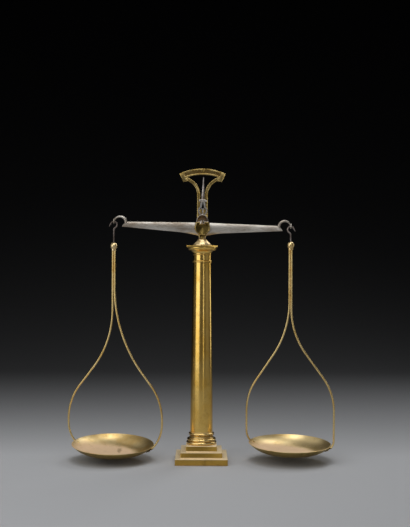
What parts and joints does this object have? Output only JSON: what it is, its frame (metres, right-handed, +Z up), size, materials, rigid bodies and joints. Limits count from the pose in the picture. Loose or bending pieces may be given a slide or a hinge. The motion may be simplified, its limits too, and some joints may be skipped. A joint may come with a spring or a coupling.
{
  "type": "beam scale",
  "caption": "Column balance: iron beam on a knife edge, pointer before an index frame, and two dished pans in pear-shaped bows.",
  "frame": {"origin": "middle of the plinth's underside, which rests on the table", "axes": "+Z up along the column, +X along the beam to the right-hand pan, -Y towards the reader of the index"},
  "size_m": [0.5339, 0.1638, 0.5845],
  "materials": {
    "stand_brass": "turned and polished, lightly tarnished",
    "cheek_brass": "dark brown patina",
    "iron": "scraped and worn, with brown stains",
    "bright_steel": "filed bright",
    "dark_steel": "darkened wire",
    "bow_brass": "drawn rod, polished",
    "pan_brass": "spun, satin from use"
  },
  "bodies": {
    "stand": {"plinth": "stand_brass", "column_base": "stand_brass", "column_shaft": "stand_brass", "capital": "stand_brass", "dome_cap": "stand_brass", "tie_rod": "iron", "post_block": "cheek_brass", "front_cheek": "cheek_brass", "rear_cheek": "cheek_brass", "cheek_screws": "bright_steel", "front_bearing": "bright_steel", "rear_bearing": "bright_steel", "index_frame": "stand_brass", "index_rivets": "bright_steel"},
    "beam": {"beam": "iron", "centre_knife": "bright_steel", "pointer": "bright_steel"},
    "left_hook": {"left_hook": "dark_steel"},
    "left_pan_set": {"left_swivel_ball": "bow_brass", "left_outer_rod": "bow_brass", "left_inner_rod": "bow_brass", "left_pan": "pan_brass", "left_pan_rivets": "bow_brass"},
    "right_hook": {"right_hook": "dark_steel"},
    "right_pan_set": {"right_swivel_ball": "bow_brass", "right_outer_rod": "bow_brass", "right_inner_rod": "bow_brass", "right_pan": "pan_brass", "right_pan_rivets": "bow_brass"}
  },
  "joints": [
    {"name": "beam_tilt", "type": "hinge", "parent": "stand", "child": "beam", "pos_m": [0, 0, 0.479], "axis": [0, 1, 0], "range_deg": [-3.5, 1.95]},
    {"name": "left_hook_swing", "type": "hinge", "parent": "beam", "child": "left_hook", "pos_m": [-0.17703, 0, 0.47567], "axis": [0, 1, 0], "range_deg": [-1.4, 20]},
    {"name": "left_pan_swivel", "type": "hinge", "parent": "left_hook", "child": "left_pan_set", "pos_m": [-0.17703, 0, 0.42817], "axis": [0, 0, 1], "continuous": true},
    {"name": "right_hook_swing", "type": "hinge", "parent": "beam", "child": "right_hook", "pos_m": [0.17667, 0, 0.46733], "axis": [0, 1, 0], "range_deg": [-20, 4.1]},
    {"name": "right_pan_swivel", "type": "hinge", "parent": "right_hook", "child": "right_pan_set", "pos_m": [0.17667, 0, 0.43113], "axis": [0, 0, 1], "continuous": true}
  ]
}
